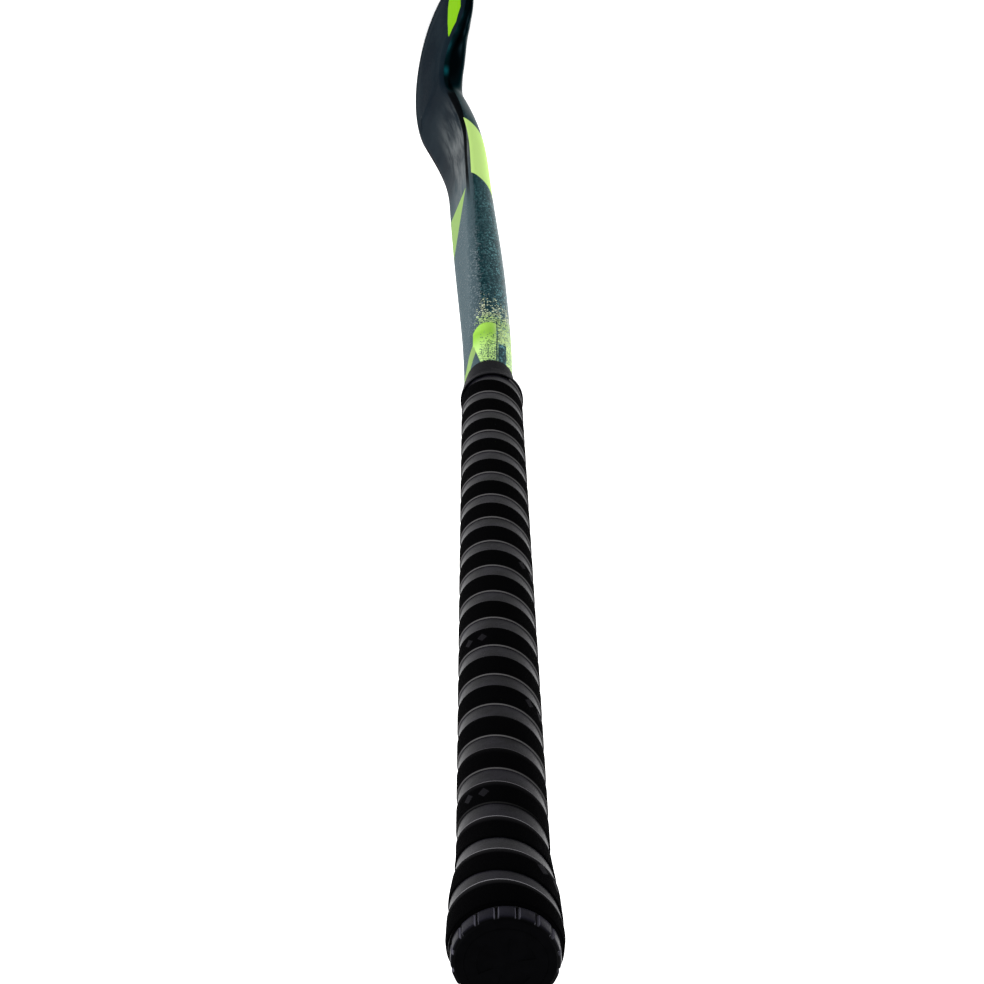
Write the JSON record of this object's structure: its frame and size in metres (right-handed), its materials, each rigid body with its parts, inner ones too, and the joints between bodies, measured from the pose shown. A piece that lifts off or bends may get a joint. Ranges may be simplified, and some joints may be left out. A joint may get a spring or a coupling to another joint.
{
  "type": "field hockey stick",
  "caption": "Right-handed field hockey stick with a bowed composite shaft, a J-shaped head with one flat side, a spirally wound grip and a rubber butt cap.",
  "frame": {"origin": "middle of the butt cap's flat end", "axes": "+Z along the handle axis, out of the butt, so the stick hangs head down; the toe points to -X and the flat playing side looks to -Y"},
  "size_m": [0.1075, 0.0742, 0.927],
  "materials": {
    "laminate_shell": "dark teal metallic lacquer over carbon and glass laminate, speckled",
    "tube_heel": "bare carbon laminate",
    "tube_toe": "bare carbon laminate",
    "tube_core_heel": "light polyurethane foam",
    "tube_core_toe": "light polyurethane foam",
    "head_core": "dense polyurethane foam",
    "touch_pad": "matt slate grey textured layer",
    "handle_plug": "turned filler plug",
    "end_cap": "matt black rubber",
    "flare_collar": "matt black rubber",
    "grip_underlay": "smooth grey polyurethane with a soft sheen",
    "grip_wrap": "matt black chamois tape",
    "finishing_tape": "black elastic tape"
  },
  "bodies": {
    "root": {"laminate_shell": "laminate_shell", "tube_heel": "tube_heel", "tube_toe": "tube_toe", "tube_core_heel": "tube_core_heel", "tube_core_toe": "tube_core_toe", "head_core": "head_core", "touch_pad": "touch_pad", "handle_plug": "handle_plug", "end_cap": "end_cap", "flare_collar": "flare_collar", "grip_underlay": "grip_underlay", "grip_wrap": "grip_wrap", "finishing_tape": "finishing_tape"}
  },
  "joints": []
}
